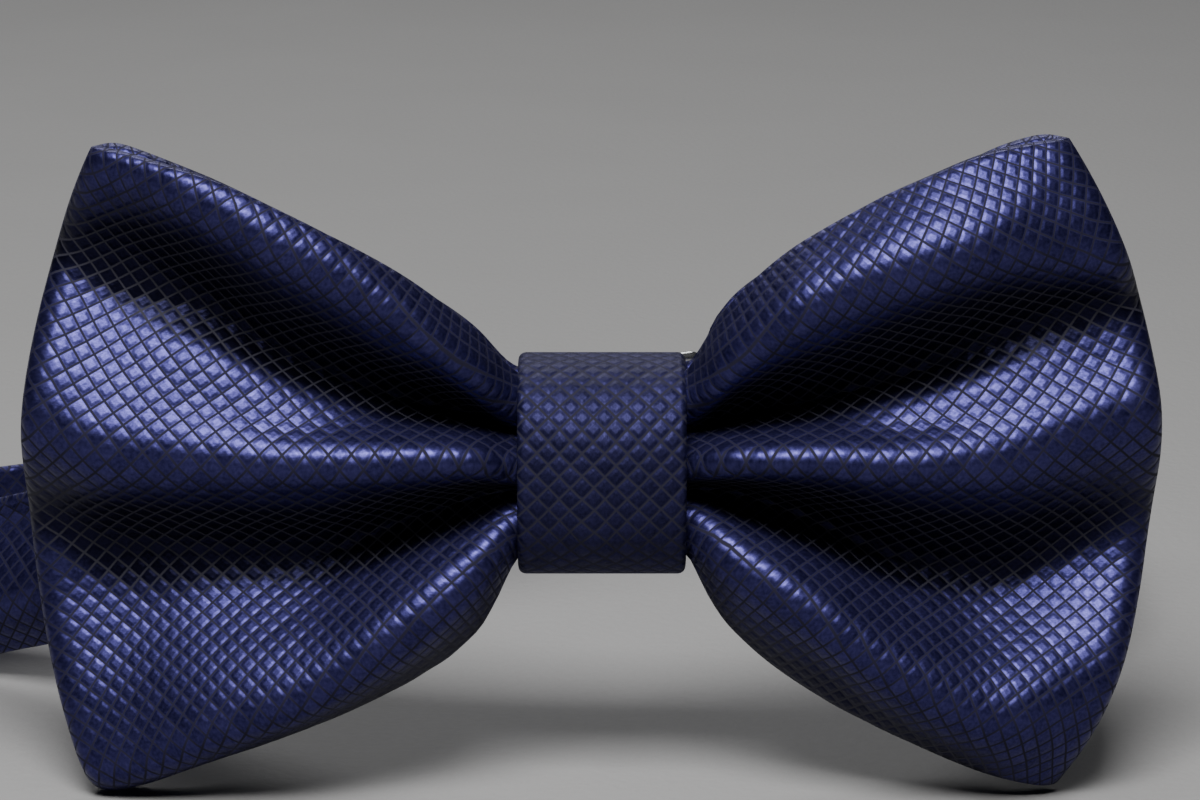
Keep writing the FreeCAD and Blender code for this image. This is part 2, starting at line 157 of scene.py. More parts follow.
class StageSettings(bpy.types.PropertyGroup):
    """The floor's colour and the camera."""

    floor: colour("Floor", "The plain floor", (0.26, 0.257, 0.255))
    elevation: FloatProperty(
        name="Camera height",
        description="How far the camera looks down",
        default=math.radians(14.5),
        subtype="ANGLE",
    )
    distance: length("Camera distance", "From the camera to the knot", 0.48)
    aim_x: length("Aim across", "Where the camera looks, across", -0.2 * MM)
    aim_z: length("Aim up", "Where the camera looks, up", 8.6 * MM)
    view_width: length("View width", "Width that the camera sees at the knot", 124.2 * MM)


# ---- meshes ------------------------------------------------------


SAME_PLACE = 1e-7


def hermite(low, high, low_slope, high_slope, share):
    """A cubic between two values, with slopes for the whole step."""
    t2, t3 = share**2, share**3
    return (
        (2 * t3 - 3 * t2 + 1) * low
        + (t3 - 2 * t2 + share) * low_slope
        + (3 * t2 - 2 * t3) * high
        + (t3 - t2) * high_slope
    )


def smooth_through(places, values, at):
    """A smooth line through values at rising places, one per column, level where it turns."""
    step = np.diff(places, axis=0)
    rise = np.diff(values, axis=0) / step
    slope = np.zeros_like(values)
    before, after = rise[:-1], rise[1:]
    rising = before * after > 0
    total = np.where(rising, before + after, 1)
    slope[1:-1] = np.where(rising, 2 * before * after / total, 0)
    slope[0], slope[-1] = rise[0], rise[-1]
    i = np.clip((places[1:-1] <= at).sum(0), 0, len(step) - 1)
    column = np.arange(places.shape[1])
    wide = step[i, column]
    share = np.clip((at - places[i, column]) / wide, 0, 1)
    low, high = values[i, column], values[i + 1, column]
    return hermite(low, high, slope[i, column] * wide, slope[i + 1, column] * wide, share)


def line_through(points, at):
    """A smooth line through (place, value) points, at an array of places."""
    at = np.asarray(at, float)
    places, values = (np.repeat(np.array(p, float)[:, None], at.size, 1) for p in zip(*points))
    return smooth_through(places, values, at.ravel()).reshape(at.shape)


def along_lengths(points):
    """Distance along each line of points, on the first axis, from its first point."""
    steps = np.linalg.norm(np.diff(points, axis=0), axis=-1)
    return np.concatenate([np.zeros_like(steps[:1]), np.cumsum(steps, axis=0)])


def spaced(points, shares):
    """Points at these shares of a line's length."""
    total = along_lengths(points)
    places = shares * total[-1]
    return np.stack([np.interp(places, total, points[:, k]) for k in range(3)], axis=-1)


def edge_shares(width, thickness, count):
    """Rows across a strip: close together over its rounded edges, even between."""
    angles = np.radians((0, 22.5, 45, 67.5))
    edge = thickness / 2 * (1 - np.cos(angles)) / width
    middle = np.linspace(thickness / 2 / width, 1 - thickness / 2 / width, count)
    return np.concatenate([edge, middle, 1 - edge[::-1]])


def half_thickness(places, width, thickness):
    """Half the thickness of a strip at places across it: its edges are half rounds."""
    radius = thickness / 2
    inside = np.clip(np.minimum(places, width - places) / radius, 0, 1)
    return radius * np.sqrt(1 - (1 - inside) ** 2)


def finish_piece(bm, name, material, smooth=True):
    """Turns a bmesh into a piece with one material."""
    mesh = bpy.data.meshes.new(name)
    bm.to_mesh(mesh)
    bm.free()
    if material:
        mesh.materials.append(material)
    if smooth:
        mesh.shade_smooth()
    piece = bpy.data.objects.new(name, mesh)
    bpy.context.scene.collection.objects.link(piece)
    return piece


def grid_mesh(points):
    """A bmesh of faces through a grid of points[along, across]: its vertices run along first."""
    bm = bmesh.new()
    bmesh.ops.create_grid(bm, x_segments=points.shape[0] - 1, y_segments=points.shape[1] - 1, size=1)
    for vert, place in zip(bm.verts, np.moveaxis(points, 0, 1).reshape(-1, 3)):
        vert.co = place
    bm.verts.index_update()
    return bm


def every(step, count):
    """Every step-th place of a count, with the last one."""
    return np.unique(np.append(np.arange(0, count, step), count - 1))


def laid_flat(middle):
    """Where a middle surface's points lie, in metres, when its cloth is laid flat with the least stretch.

    A coarse copy of the surface is flattened, and the points between are worked out from it.
    """
    along_rows = every(2, middle.shape[0])
    across_rows = every(3, middle.shape[1])
    coarse = middle[np.ix_(along_rows, across_rows)]
    sheet = finish_piece(grid_mesh(coarse), "laid_flat", None)
    bpy.context.view_layer.objects.active = sheet
    sheet.select_set(True)
    bpy.ops.object.mode_set(mode="EDIT")
    bpy.ops.mesh.select_all(action="SELECT")
    bpy.ops.uv.unwrap(method="MINIMUM_STRETCH", iterations=20, margin=0, correct_aspect=False)
    bpy.ops.object.mode_set(mode="OBJECT")
    mesh = sheet.data
    corners = np.array([corner.vertex_index for corner in mesh.loops])
    places = np.zeros((len(mesh.vertices), 2))
    places[corners] = [tuple(corner.uv) for corner in mesh.uv_layers[0].data]
    bpy.data.objects.remove(sheet)
    places = np.moveaxis(places.reshape(coarse.shape[1], coarse.shape[0], 2), 0, 1)

    line = places[:, coarse.shape[1] // 2]
    walked = np.linalg.norm(np.diff(coarse[:, coarse.shape[1] // 2], axis=0), axis=1).sum()
    scale = walked / np.linalg.norm(np.diff(line, axis=0), axis=1).sum()
    quarter = len(line) // 4
    way = (line[-quarter] - line[quarter]) / np.linalg.norm(line[-quarter] - line[quarter])
    turn = np.array([[way[0], -way[1]], [way[1], way[0]]]) * scale
    places = (places - line[len(line) // 2]) @ turn

    pattern = np.zeros((*middle.shape[:2], 2))
    for k in range(2):
        fine = [np.interp(np.arange(middle.shape[1]), across_rows, row) for row in places[..., k]]
        along = np.arange(middle.shape[0])
        columns = [np.interp(along, along_rows, column) for column in np.array(fine).T]
        pattern[..., k] = np.array(columns).T
    return pattern


def cloth_strip(name, middle, thickness, material, closed=False, pattern=None, depth=None):
    """A strip of folded cloth with rounded edges round a middle surface, given as points[along, across].

    Its UV map is in metres on the flat cloth: from pattern, or by the distances along and across it.
    depth, from 0 to 1, says how much shade is painted into the weave's colour at each point: much inside
    the folds.
    """
    across = np.gradient(middle, axis=1)
    along = np.gradient(middle, axis=0)
    if closed:
        wrapped = np.concatenate([middle[-2:-1], middle, middle[1:2]])
        along = (wrapped[2:] - wrapped[:-2]) / 2
    across /= np.linalg.norm(across, axis=-1, keepdims=True)
    normal = np.cross(along, across)
    normal /= np.linalg.norm(normal, axis=-1, keepdims=True)
    places = np.moveaxis(along_lengths(np.moveaxis(middle, 1, 0)), 0, 1)
    offset = half_thickness(places, places[:, -1:], thickness)[..., None] * normal
    skin = np.concatenate([middle + offset, (middle - offset)[:, -2::-1]], axis=1)

    if pattern is None:
        row = middle.shape[1] // 2
        lengths = along_lengths(middle[:, row])
        lengths = np.repeat(lengths[:, None], places.shape[1], 1)
        pattern = np.stack([lengths, places - places[:, row : row + 1]], -1)
    pattern = np.concatenate([pattern, pattern[:, -2::-1]], axis=1)
    weave = np.moveaxis(pattern, 0, 1).reshape(-1, 2)
    depth = np.zeros(places.shape) if depth is None else depth
    depth = np.concatenate([depth, depth[:, -2::-1]], axis=1).T.ravel()

    bm = grid_mesh(skin)
    inside = bm.verts.layers.float.new("painted_fold_shade")
    for vert, value in zip(bm.verts, depth):
        vert[inside] = value
    layer = bm.loops.layers.uv.new("weave")
    for face in bm.faces:
        for loop in face.loops:
            loop[layer].uv = weave[loop.vert.index]
    bmesh.ops.remove_doubles(bm, verts=bm.verts, dist=SAME_PLACE)
    if not closed:
        open_edges = [edge for edge in bm.edges if edge.is_boundary]
        bmesh.ops.holes_fill(bm, edges=open_edges, sides=0)
    bmesh.ops.recalc_face_normals(bm, faces=bm.faces)
    return finish_piece(bm, name, material)


# ---- materials ---------------------------------------------------


# The diamonds are counted from here, so that their numbers stay positive.
FIRST_DIAMOND = 100

# How far in from its line a diamond reaches its full height, as a share of its side.
PILLOW_SHOULDER = 0.34


class Value:
    """A number that varies over a surface, and takes part in sums."""

    def __init__(self, shop, socket):
        self.shop = shop
        self.socket = socket

    def maths(self, operation, *others):
        values = dict(enumerate((self, *others)))
        node = self.shop.node("ShaderNodeMath", {"operation": operation}, values)
        return Value(self.shop, node.outputs[0])

    def __add__(self, other):
        return self.maths("ADD", other)

    __radd__ = __add__

    def __sub__(self, other):
        return self.maths("SUBTRACT", other)

    def __rsub__(self, other):
        return (self * -1) + other

    def __mul__(self, other):
        return self.maths("MULTIPLY", other)

    __rmul__ = __mul__

    def __abs__(self):
        return self.maths("ABSOLUTE")

    def step(self, low, high):
        """0 below low, 1 above high, and smooth between."""
        settings = {"interpolation_type": "SMOOTHSTEP"}
        inputs = {"Value": self, "From Min": low, "From Max": high}
        node = self.shop.node("ShaderNodeMapRange", settings, inputs)
        return Value(self.shop, node.outputs["Result"])


class Shop:
    """Makes one material's nodes."""

    def __init__(self, name):
        self.material = bpy.data.materials.new(name)
        self.material.use_nodes = True
        self.tree = self.material.node_tree
        self.tree.nodes.clear()
        self.shader = self.node("ShaderNodeBsdfPrincipled", {}, {})
        self.node("ShaderNodeOutputMaterial", {}, {"Surface": self.shader.outputs[0]})

    def node(self, kind, settings, inputs):
        """A node of a kind, with its settings, then the values or links of its sockets."""
        node = self.tree.nodes.new(kind)
        for key, value in settings.items():
            setattr(node, key, value)
        for key, value in inputs.items():
            self.put(node.inputs[key], value)
        return node

    def put(self, socket, value):
        if isinstance(value, Value):
            value = value.socket
        if isinstance(value, bpy.types.NodeSocket):
            self.tree.links.new(value, socket)
        else:
            socket.default_value = value

    def set(self, **inputs):
        """Sets the shader's sockets: Base_Color means Base Color."""
        for key, value in inputs.items():
            self.put(self.shader.inputs[key.replace("_", " ")], value)

    def mix(self, share, first, second):
        """A colour between two, by a share."""
        settings = {"data_type": "RGBA", "clamp_factor": True}
        node = self.node("ShaderNodeMix", settings, {0: share})
        self.put(node.inputs[6], first)
        self.put(node.inputs[7], second)
        return node.outputs[2]

    def parts(self, vector):
        node = self.node("ShaderNodeSeparateXYZ", {}, {0: vector})
        return [Value(self, node.outputs[k]) for k in range(3)]

    def vector(self, x, y, z):
        return self.node("ShaderNodeCombineXYZ", {}, {0: x, 1: y, 2: z}).outputs[0]

    def places(self):
        """The object's own coordinates, in metres."""
        return self.node("ShaderNodeTexCoord", {}, {}).outputs["Object"]

    def cloth(self):
        """Places on the cloth, in metres, from the piece's UV map."""
        return self.node("ShaderNodeUVMap", {"uv_map": "weave"}, {}).outputs[0]

    def painted_fold_shade(self):
        """How much shade is painted into the weave's colour at a point, from 0 to 1: much inside the folds.
        """
        node = self.node("ShaderNodeAttribute", {"attribute_name": "painted_fold_shade"}, {})
        return Value(self, node.outputs["Fac"])

    def noise(self, vector, scale, detail=2.0, rough=0.5):
        inputs = {"Vector": vector, "Scale": scale, "Detail": detail, "Roughness": rough}
        node = self.node("ShaderNodeTexNoise", {"noise_dimensions": "3D"}, inputs)
        return Value(self, node.outputs[0])

    def random(self, vector):
        node = self.node("ShaderNodeTexWhiteNoise", {"noise_dimensions": "3D"}, {"Vector": vector})
        return Value(self, node.outputs[0])

    def bump(self, height, distance):
        inputs = {"Height": height, "Distance": distance, "Strength": 1.0}
        return self.node("ShaderNodeBump", {}, inputs).outputs[0]


def rgba(colour_value):
    return (*colour_value, 1.0)


def weave_on(shop, x, y, tie):
    """The diamond weave over two places in metres: line mask, pillow height, a random number a diamond."""
    side = tie.diamond / math.sqrt(2)
    wobble = shop.noise(shop.vector(x, y, 0.0), 260, 1.0)
    x = x + (wobble - 0.5) * (0.22 * MM)
    per_metre = math.sqrt(0.5) / side
    first = (x + y) * per_metre + FIRST_DIAMOND
    second = (x - y) * per_metre + FIRST_DIAMOND
    edges = []
    for place in (first, second):
        inside = place.maths("FRACT")
        edges.append(0.5 - abs(inside - 0.5))
    near = edges[0].maths("MINIMUM", edges[1])
    half = tie.line / side / 2
    line = 1 - near.step(half * 0.55, half * 1.5)
    pillow = edges[0].step(0.0, PILLOW_SHOULDER) * edges[1].step(0.0, PILLOW_SHOULDER)
    cell = shop.vector(first.maths("FLOOR"), second.maths("FLOOR"), 0.0)
    return line, pillow, shop.random(cell)


def finish_jacquard(shop, x, y, tie, colours, dull):
    """Satin diamonds between matt lines. dull is 0 for bright satin and 1 for the knot's duller satin."""
    line, pillow, chance = weave_on(shop, x, y, tie)
    floats = shop.noise(shop.vector(x * 0.25, y, 0.0), 5200, 2.0, 0.65)
    grain = shop.noise(shop.vector(x, y, 0.0), 2600, 2.0, 0.6)
    shade = (chance - 0.5) * 0.35 + (grain - 0.5) * 1.5 + 0.5
    satin = shop.mix(shade, rgba(colours.satin_deep), rgba(colours.satin))
    folded = shop.painted_fold_shade()
    # Painted shade: inside the folds the satin is darkened towards the near-black fold colour; dull darkens
    # the knot's whole satin part way too.
    satin = shop.mix(folded * 0.85 + dull * 0.55, satin, rgba(colours.shadow))
    # Painted light: the matt lines are drawn lighter inside the folds, and the knot's lines part way.
    threads = shop.mix(folded + dull * 0.35, rgba(colours.line), rgba(colours.line_in_fold_shade))
    shop.set(Base_Color=shop.mix(line, satin, threads))
    shop.set(Metallic=(1 - line) * (0.88 - dull * 0.10))
    shop.set(Roughness=0.41 + dull * 0.14 + line * 0.35 + (floats - 0.5) * 0.16)
    height = pillow * 0.85 + floats * 0.10 + grain * 0.10
    shop.set(Normal=shop.bump(height, (0.08 + dull * 0.07) * MM))
    shop.set(IOR=1.3)


def jacquard(name, tie, colours, dull=0.0):
    """The weave on a piece's own UV map."""
    shop = Shop(name)
    x, y, _ = shop.parts(shop.cloth())
    finish_jacquard(shop, x, y, tie, colours, dull)
    return shop.material


def jacquard_on_rear_run(name, tie, colours):
    """The weave on a flat ply of the rear run, by its place in space: along the run and upwards."""
    shop = Shop(name)
    x, y, z = shop.parts(shop.places())
    along = x * ALONG.x + y * ALONG.y
    finish_jacquard(shop, along, z, tie, colours, 0.0)
    return shop.material


def thread_material(colours):
    shop = Shop("navy_thread")
    strands = shop.noise(shop.places(), 4200, 2.0)
    deep = tuple(c * 0.45 for c in colours.thread)
    shop.set(Base_Color=shop.mix(strands, rgba(deep), rgba(colours.thread)))
    shop.set(Roughness=0.45 + strands * 0.25)
    shop.set(Normal=shop.bump(strands, 0.08 * MM))
    return shop.material


def canvas_material(colours):
    """Undyed plain-woven canvas."""
    shop = Shop("undyed_canvas")
    x, y, z = shop.parts(shop.places())
    threads = 9000
    warp = (x * threads).maths("SINE") * 0.5 + 0.5
    weft = (z * threads).maths("SINE") * 0.5 + 0.5
    slub = shop.noise(shop.vector(x, y, z), 700, 3.0)
    weave = warp * weft + slub * 0.4
    deep = tuple(c * 0.7 for c in colours.lining)
    shop.set(Base_Color=shop.mix(weave, rgba(deep), rgba(colours.lining)))
    shop.set(Roughness=0.85 + slub * 0.1)
    shop.set(Normal=shop.bump(weave, 0.12 * MM))
    return shop.material


def metal_material(colours):
    """Bright plating, with fine scratches and slightly duller patches."""
    shop = Shop("bright_plating")
    places = shop.places()
    cloud = shop.noise(places, 180, 3.0)
    scratch = shop.noise(places, 3500, 3.0, 0.7)
    worn = tuple(c * 0.72 for c in colours.metal)
    shop.set(Base_Color=shop.mix(cloud.step(0.35, 0.75), rgba(colours.metal), rgba(worn)))
    shop.set(Metallic=1.0, Roughness=0.16 + cloud * 0.14 + scratch * 0.10)
    shop.set(Normal=shop.bump(scratch, 0.006 * MM))
    return shop.material


# ---- the bow -----------------------------------------------------

# Where each line of a wing's front leaf runs, from its middle to its end, in millimetres.
STATIONS = (0, 8.9, 13, 21, 32, 42, 51, 61)

# For each line, its heights and then its depths in front of the collar, one for each station: the leaf's
# two edges, its three rolls, and the valleys, dip and ripple between them.
LEFT_LINES = {
    "low_edge": (
        (-8.4, -8.8, -17.2, -22.8, -27.1, -30.9, -34.4, -36.6),
        (9.5, 9.6, 10.0, 11.5, 14.0, 14.0, 11.6, 9.5),
    ),
    "low_roll": (
        (-5.6, -6.0, -9.6, -15.8, -23.4, -27.6, -32.2, -33.4),
        (10.8, 11.3, 15.0, 17.8, 18.4, 16.8, 14.2, 11.4),
    ),
    "low_valley": (
        (-2.6, -2.6, -3.4, -6.4, -10.2, -10.2, -9.8, -6.0),
        (8.0, 7.8, 7.0, 6.6, 6.8, 6.2, 5.2, 5.4),
    ),
    "middle_roll": (
        (0.4, 0.6, 2.4, 2.7, 2.4, 2.0, 2.6, 7.4),
        (11.8, 12.2, 15.4, 16.8, 16.2, 15.2, 14.2, 11.4),
    ),
    "dip": (
        (2.0, 2.0, 3.7, 4.6, 5.0, 7.0, 8.0, 12.5),
        (9.6, 9.4, 10.2, 11.2, 12.8, 12.2, 11.6, 9.8),
    ),
    "ripple": (
        (2.6, 2.7, 4.2, 5.2, 7.8, 11.6, 13.0, 16.0),
        (8.8, 8.6, 8.4, 8.8, 10.8, 9.6, 8.4, 8.0),
    ),
    "top_valley": (
        (3.2, 3.4, 4.9, 6.6, 10.6, 16.4, 19.0, 24.0),
        (8.0, 7.8, 7.0, 6.4, 6.4, 5.4, 5.0, 5.2),
    ),
    "top_roll": (
        (6.2, 6.5, 11.2, 18.4, 25.2, 30.6, 34.0, 34.6),
        (9.8, 10.2, 14.6, 17.2, 17.4, 15.4, 11.8, 9.6),
    ),
    "top_edge": (
        (8.4, 9.2, 14.4, 21.6, 28.2, 32.6, 34.7, 37.0),
        (7.6, 7.2, 10.4, 13.4, 14.8, 14.0, 11.2, 9.4),
    ),
}
RIGHT_LINES = {
    "low_edge": (
        (-8.4, -8.8, -16.3, -23.0, -28.8, -33.0, -35.4, -35.6),
        (9.5, 9.6, 10.0, 11.0, 12.6, 12.6, 10.0, 9.0),
    ),
    "low_roll": (
        (-5.4, -5.7, -8.0, -12.6, -20.6, -25.2, -23.5, -21.0),
        (10.8, 11.3, 15.0, 17.6, 18.4, 17.6, 14.4, 11.0),
    ),
    "low_valley": (
        (-2.4, -2.4, -3.0, -5.8, -10.6, -12.4, -9.4, -5.0),
        (8.0, 7.8, 7.0, 6.4, 6.2, 5.8, 5.6, 5.8),
    ),
    "middle_roll": (
        (0.4, 0.8, 2.4, 2.9, 2.4, 2.8, 5.8, 8.2),
        (11.8, 12.2, 15.4, 16.8, 16.4, 15.2, 13.2, 11.2),
    ),
    "dip": (
        (2.0, 2.2, 3.6, 4.5, 5.0, 6.6, 8.6, 10.6),
        (9.6, 9.4, 10.2, 11.0, 12.4, 12.4, 11.6, 10.2),
    ),
    "ripple": (
        (2.6, 2.8, 4.0, 5.0, 6.8, 9.4, 11.0, 12.8),
        (8.8, 8.6, 8.4, 8.8, 11.4, 10.8, 9.6, 8.8),
    ),
    "top_valley": (
        (3.2, 3.5, 4.9, 6.1, 9.4, 13.4, 16.6, 18.0),
        (8.0, 7.8, 7.0, 6.6, 6.8, 7.0, 7.2, 7.0),
    ),
    "top_roll": (
        (6.2, 6.6, 12.2, 19.2, 23.6, 25.0, 24.0, 23.0),
        (9.8, 10.2, 15.0, 18.0, 18.2, 16.0, 12.6, 10.6),
    ),
    "top_edge": (
        (8.4, 9.3, 17.2, 24.7, 30.9, 34.5, 35.4, 35.2),
        (7.6, 7.2, 10.6, 11.6, 11.6, 10.4, 9.0, 8.8),
    ),
}


# Each wing's end: its furthest reach, how far in from it the corners are, and its lean inwards as it rises.
WING_ENDS = {-1: (-BOW_LOW.x, 8.0 * MM, 0.026), 1: (BOW_HIGH.x + 0.5 * MM, 10.9 * MM, 0.0)}

# Columns along a front leaf and rows across it.
LEAF_COLUMNS = 76
LEAF_ROWS = 118


def wing_reach(side, height):
    """How far a wing reaches at a height: its end is an arc through its two corners."""
    tip, in_from_tip, lean = WING_ENDS[side]
    rise = BOW_HIGH.z
    radius = (rise**2 + in_from_tip**2) / (2 * in_from_tip)
    return tip - radius + np.sqrt(np.maximum(radius**2 - height**2, 0)) - lean * height


def lines_at(lines, x):
    """Heights and depths, in metres, of a wing's lines at distances from its middle."""
    stations = np.array(STATIONS) * MM
    heights, depths = [], []
    for line_heights, line_depths in lines.values():
        heights.append(line_through(list(zip(stations, np.array(line_heights) * MM)), x))
        depths.append(line_through(list(zip(stations, np.array(line_depths) * MM)), x))
    return np.array(heights), np.array(depths)


def column_edge(lines, side, share, which, inset):
    """The height at which a column meets the leaf's low or top edge.

    A column bows outwards with the wing's end, so the height and the reach there are found in turn.
    """
    height = 0.0
    for _ in range(12):
        x = np.array([(wing_reach(side, height) - inset) * share])
        height = lines_at(lines, x)[0][which][0]
    return height


def front_leaf(lines, side, shares, rows, inset):
    """The front leaf of a wing from the middle outwards, as points[along, across]."""
    fine = np.linspace(0, 1, 600)
    columns = []
    for share in shares:
        low = column_edge(lines, side, share, 0, inset)
        top = column_edge(lines, side, share, -1, inset)
        z = low + (top - low) * fine
        x = (wing_reach(side, z) - inset) * share
        heights, depths = lines_at(lines, x)
        y = -smooth_through(heights, depths, z)
        columns.append(spaced(np.stack([side * x, y, z], axis=-1), rows))
    return np.array(columns)


def back_leaf(front, shares):
    """The back leaf: flatter, behind the front one, and lower at the top towards the middle."""
    parting = 0.35
    depth, pinched_by, pinch_reach = 2.2 * MM, 2.6 * MM, 13 * MM
    ripple_height, ripple_reach = 0.8 * MM, 30 * MM
    top_drop, drop_from, drop_over = 3.2 * MM, 9 * MM, 12 * MM
    back = front.copy()
    apart = np.clip((1 - shares) / parting, 0, 1)
    apart = (apart * apart * (3 - 2 * apart))[:, None]
    x, y, z = (front[..., k] for k in range(3))
    flat_depth = -(depth + pinched_by * np.exp(-((x / pinch_reach) ** 2)))
    rows = np.linspace(0, 1, front.shape[1])[None, :]
    fading = np.exp(-((np.abs(x) / ripple_reach) ** 2))
    ripple = np.sin(rows * math.pi * 4 + 0.6) * ripple_height * fading
    back[..., 1] = y * (1 - apart) + (flat_depth + ripple) * apart
    drop = apart * np.clip((np.abs(x) - drop_from) / drop_over, 0, 1)
    back[..., 2] = z - drop * top_drop * rows**2
    return back


def smoothed(points, times):
    """Evens a closed loop of cloth towards its neighbours. Its edges even only along the loop."""
    for _ in range(times):
        ring = np.concatenate([points[-2:-1], points, points[1:2]])
        points = points * 0.5 + (ring[:-2] + ring[2:]) * 0.25
        points[0] = points[-1] = (points[0] + points[-1]) / 2
        inner = points[:, 1:-1] * 0.5 + (points[:, :-2] + points[:, 2:]) * 0.25
        points[:, 1:-1] = inner
    return points


def overhang(middle):
    """How far the cloth above a point of the bow stands out past it, from 0 to 1: the mask by which shade
    is painted into the weave's colour.

    It is high inside the folds, under cloth that would shade the point from a light above and in front.
    Cloth that stands out by less than the slope doesn't count.
    """
    slope, full = 0.42, 1.9 * MM
    facing = np.sign(np.gradient(middle[..., 0], axis=0))
    y, z = middle[..., 1] * facing, middle[..., 2]
    out = np.zeros(y.shape)
    for step in range(2, middle.shape[1] // 2, 2):
        rise = z[:, step:] - z[:, :-step]
        over = (y[:, :-step] - y[:, step:]) - rise * slope
        out[:, :-step] = np.maximum(out[:, :-step], np.where(rise > 0, over, 0))
    return np.clip(out / full, 0, 1)


def bow_middle(fold, leaf):
    """The middle surface of the bow's cloth loop: front leaves, end folds and back leaves."""
    shares = np.linspace(0, 1, LEAF_COLUMNS)
    rows = np.linspace(0, 1, LEAF_ROWS)
    halves = []
    for lines, side in ((LEFT_LINES, -1), (RIGHT_LINES, 1)):
        front = front_leaf(lines, side, shares, rows, fold + leaf / 2)
        end = front[-1].copy()
        turn = []
        for angle in np.radians(np.linspace(0, 180, 9)[1:-1]):
            out = end.copy()
            out[:, 0] += side * fold * math.sin(angle)
            out[:, 1] += fold * (1 - math.cos(angle))
            turn.append(out)
        behind = front.copy()
        behind[..., 1] += 2 * fold
        back = back_leaf(behind, shares)
        halves.append((front, np.array(turn), back))
    (left_front, left_turn, left_back), (right_front, right_turn, right_back) = halves
    left = [left_back, left_turn[::-1], left_front[::-1]]
    right = [right_front[1:], right_turn, right_back[::-1]]
    return smoothed(np.concatenate(left + right), 4)


def wrinkle(points, strength):
    """Slight unevenness, drawn out along the wings."""
    waist = 9.0
    moved = points.copy()
    for i in range(points.shape[0]):
        for j in range(points.shape[1]):
            x, y, z = points[i, j] / MM
            spread = max(abs(x), waist)
            place = Vector((x * 0.045, y * 0.03, z / spread * 5.0))
            moved[i, j, 1] += (noise.noise(place) + 0.4 * noise.noise(place * 2.3)) * strength
    return moved


# ---- the neckband's route ----------------------------------------


def beziers(knots, count=40):
    """Points along curves through (point, handle before, handle after) knots."""
    points = []
    for (start, _, out), (end, back, _) in zip(knots, knots[1:]):
        points += interpolate_bezier(start, out, back, end, count)[:-1]
    return points + [knots[-1][0]]


def knot_of(point, direction, before, after):
    """A knot of a curve: its point, and its handles along a direction."""
    return (point, point - direction * before, point + direction * after)


def turned(direction, degrees):
    """A level direction turned anticlockwise."""
    angle = math.radians(degrees)
    x = direction.x * math.cos(angle) - direction.y * math.sin(angle)
    return Vector((x, direction.x * math.sin(angle) + direction.y * math.cos(angle), 0))


def flat(point):
    """A point brought down to height 0."""
    return Vector((point[0], point[1], 0))


def half_turn(bar, start, degrees, count=14):
    """Points of a turn about a bar from a start point, anticlockwise when positive."""
    arm = flat(start) - flat(bar)
    return [flat(bar) + turned(arm, degrees * k / count) for k in range(count + 1)]


def left_route(tie):
    """The long half: out of the knot to the left, round the narrow end, and back over the hook's bar."""
    radius = tie.narrow_end
    centre = flat(BEND_AXIS) + Vector((radius, 0, 0))
    near = centre + Vector((OUTWARD.x, -OUTWARD.y, 0)) * radius
    rear = centre + OUTWARD * radius
    left, up = Vector((-1, 0, 0)), Vector((0, 1, 0))
    arc = radius * 0.372
    bar = flat(HOOK_BAR)
    fold_start = bar - OUTWARD * tie.turn
    knots = [
        knot_of(Vector((0, BAND_DEPTH, 0)), left, 0, 3 * MM),
        knot_of(Vector((-8.4 * MM, BAND_DEPTH, 0)), left, 3 * MM, 7 * MM),
        knot_of(near, Vector((-ALONG.x, ALONG.y, 0)), 24 * MM, arc),
        knot_of(flat(BEND_AXIS), up, arc, arc),
        knot_of(rear, ALONG, arc, 12 * MM),
        knot_of(fold_start, ALONG, 12 * MM, 0),
    ]
    points = beziers(knots) + half_turn(bar, fold_start, 180)[1:]
    return points + [points[-1] - ALONG * HOOK_LAP]


def right_route(tie):
    """The short half: out of the knot to the right, round behind and over the eye's bar."""
    right, back = Vector((1, 0, 0)), Vector((0.0875, 0.9962, 0))
    bar = flat(EYE_BAR)
    inner = OUTWARD * (tie.turn - tie.band - 0.1 * MM)
    knots = [
        knot_of(Vector((0, BAND_DEPTH, 0)), right, 0, 3 * MM),
        knot_of(Vector((8.4 * MM, BAND_DEPTH, 0)), right, 3 * MM, 8 * MM),
        knot_of(Vector((56.2 * MM, 38 * MM, 0)), back, 24 * MM, 16 * MM),
        knot_of(Vector((59.9 * MM, 79.5 * MM, 0)), back, 14 * MM, 18.9 * MM),
        knot_of(bar + ALONG * 14.4 * MM - OUTWARD * tie.turn, -ALONG, 18.9 * MM, 5 * MM),
        knot_of(bar - OUTWARD * tie.turn, -ALONG, 5 * MM, 0),
    ]
    tail = [
        knot_of(bar + OUTWARD * tie.turn, ALONG, 0, 1.6 * MM),
        knot_of(bar + ALONG * 5.6 * MM - inner, ALONG, 1.8 * MM, 2 * MM),
        knot_of(bar + ALONG * 13 * MM - inner, ALONG, 2 * MM, 0),
    ]
    return beziers(knots) + half_turn(bar, bar - OUTWARD * tie.turn, -180)[1:-1] + beziers(tail, 14)


